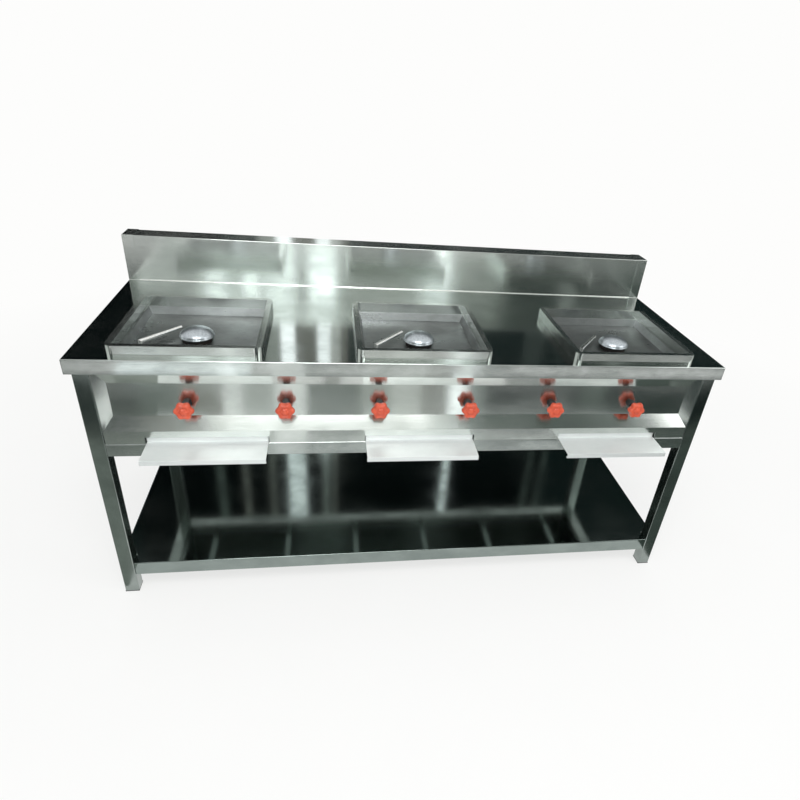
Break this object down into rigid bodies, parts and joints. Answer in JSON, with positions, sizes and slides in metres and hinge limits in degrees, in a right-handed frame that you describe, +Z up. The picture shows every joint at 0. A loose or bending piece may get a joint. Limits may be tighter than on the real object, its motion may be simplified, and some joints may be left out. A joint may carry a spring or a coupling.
{
  "type": "wok range",
  "caption": "Free-standing stainless steel gas wok range with square raised wells, splashback, red hand knobs, drip trays and a storage shelf.",
  "frame": {"origin": "on the floor, at the middle of the whole range seen from above, drip trays closed", "axes": "+X to the right along the front, +Y back towards the splashback, +Z up"},
  "size_m": [1.8, 0.75, 0.945],
  "materials": {
    "table_steel": "brushed stainless steel, worn smooth, that mirrors a dark room",
    "polished_steel": "bright polished stainless sheet with a fine grain",
    "shelf_steel": "brushed stainless sheet in shade",
    "tube_steel": "polished stainless square tube",
    "cap_steel": "polished pressed stainless cap",
    "pilot_steel": "bright stainless tube",
    "spindle_steel": "plated, bright",
    "cast_iron": "rough dark casting",
    "brass": "machined brass",
    "pipe_metal": "soft drawn tube",
    "rail_paint": "grey paint on steel tube",
    "red_plastic": "moulded red-orange plastic",
    "black_plastic": "moulded black plastic"
  },
  "bodies": {
    "range_frame": {"tabletop": "table_steel", "splashback": "polished_steel", "splashback_ends": "polished_steel", "foot_plugs": "black_plastic", "top_rails": "tube_steel", "lower_rails": "tube_steel", "undershelf": "shelf_steel", "shelf_stiffeners": "shelf_steel", "control_panel": "polished_steel", "left_end_panel": "shelf_steel", "right_end_panel": "shelf_steel", "back_panel": "shelf_steel", "burner_heads": "cast_iron", "pilot_burners": "pilot_steel", "main_taps": "brass", "pilot_taps": "brass", "injectors": "brass", "burner_straps": "tube_steel", "gas_manifold": "rail_paint", "manifold_clips": "tube_steel", "gas_pipes": "pipe_metal", "bezel_nuts": "black_plastic", "tray_runners": "shelf_steel", "leg_front_left": "tube_steel", "leg_front_right": "tube_steel", "leg_back_left": "tube_steel", "leg_back_right": "tube_steel", "well_curb_left": "polished_steel", "well_curb_middle": "polished_steel", "well_curb_right": "polished_steel", "well_bowl_left": "polished_steel", "well_bowl_middle": "polished_steel", "well_bowl_right": "polished_steel"},
    "pilot_control_left": {"pilot_spindle_left": "spindle_steel", "pilot_knob_left": "red_plastic"},
    "main_control_left": {"main_spindle_left": "spindle_steel", "main_knob_left": "red_plastic"},
    "cap_left": {"burner_cap_left": "cap_steel"},
    "shutter_left": {"air_shutter_left": "spindle_steel"},
    "tray_left": {"drip_tray_left": "polished_steel"},
    "pilot_control_middle": {"pilot_spindle_middle": "spindle_steel", "pilot_knob_middle": "red_plastic"},
    "main_control_middle": {"main_spindle_middle": "spindle_steel", "main_knob_middle": "red_plastic"},
    "cap_middle": {"burner_cap_middle": "cap_steel"},
    "shutter_middle": {"air_shutter_middle": "spindle_steel"},
    "tray_middle": {"drip_tray_middle": "polished_steel"},
    "pilot_control_right": {"pilot_spindle_right": "spindle_steel", "pilot_knob_right": "red_plastic"},
    "main_control_right": {"main_spindle_right": "spindle_steel", "main_knob_right": "red_plastic"},
    "cap_right": {"burner_cap_right": "cap_steel"},
    "shutter_right": {"air_shutter_right": "spindle_steel"},
    "tray_right": {"drip_tray_right": "polished_steel"}
  },
  "joints": [
    {"name": "pilot_tap_turn_left", "type": "hinge", "parent": "range_frame", "child": "pilot_control_left", "pos_m": [-0.6345, -0.3, 0.655], "axis": [0, -1, 0], "range_deg": [0, 270]},
    {"name": "main_tap_turn_left", "type": "hinge", "parent": "range_frame", "child": "main_control_left", "pos_m": [-0.3775, -0.3, 0.655], "axis": [0, -1, 0], "range_deg": [0, 270]},
    {"name": "cap_lift_left", "type": "slide", "parent": "range_frame", "child": "cap_left", "axis": [0, 0, 1], "range_m": [0, 0.1]},
    {"name": "air_shutter_turn_left", "type": "hinge", "parent": "range_frame", "child": "shutter_left", "pos_m": [-0.617, -0.19675, 0.742], "axis": [0, 1, 0], "range_deg": [-15, 45]},
    {"name": "tray_slide_left", "type": "slide", "parent": "range_frame", "child": "tray_left", "axis": [0, -1, 0], "range_m": [0, 0.3]},
    {"name": "pilot_tap_turn_middle", "type": "hinge", "parent": "range_frame", "child": "pilot_control_middle", "pos_m": [-0.1205, -0.3, 0.655], "axis": [0, -1, 0], "range_deg": [0, 270]},
    {"name": "main_tap_turn_middle", "type": "hinge", "parent": "range_frame", "child": "main_control_middle", "pos_m": [0.1365, -0.3, 0.655], "axis": [0, -1, 0], "range_deg": [0, 270]},
    {"name": "cap_lift_middle", "type": "slide", "parent": "range_frame", "child": "cap_middle", "axis": [0, 0, 1], "range_m": [0, 0.1]},
    {"name": "air_shutter_turn_middle", "type": "hinge", "parent": "range_frame", "child": "shutter_middle", "pos_m": [0, -0.19675, 0.742], "axis": [0, 1, 0], "range_deg": [-15, 45]},
    {"name": "tray_slide_middle", "type": "slide", "parent": "range_frame", "child": "tray_middle", "axis": [0, -1, 0], "range_m": [0, 0.3]},
    {"name": "pilot_tap_turn_right", "type": "hinge", "parent": "range_frame", "child": "pilot_control_right", "pos_m": [0.3935, -0.3, 0.655], "axis": [0, -1, 0], "range_deg": [0, 270]},
    {"name": "main_tap_turn_right", "type": "hinge", "parent": "range_frame", "child": "main_control_right", "pos_m": [0.6505, -0.3, 0.655], "axis": [0, -1, 0], "range_deg": [0, 270]},
    {"name": "cap_lift_right", "type": "slide", "parent": "range_frame", "child": "cap_right", "axis": [0, 0, 1], "range_m": [0, 0.1]},
    {"name": "air_shutter_turn_right", "type": "hinge", "parent": "range_frame", "child": "shutter_right", "pos_m": [0.617, -0.19675, 0.742], "axis": [0, 1, 0], "range_deg": [-15, 45]},
    {"name": "tray_slide_right", "type": "slide", "parent": "range_frame", "child": "tray_right", "axis": [0, -1, 0], "range_m": [0, 0.3]}
  ]
}
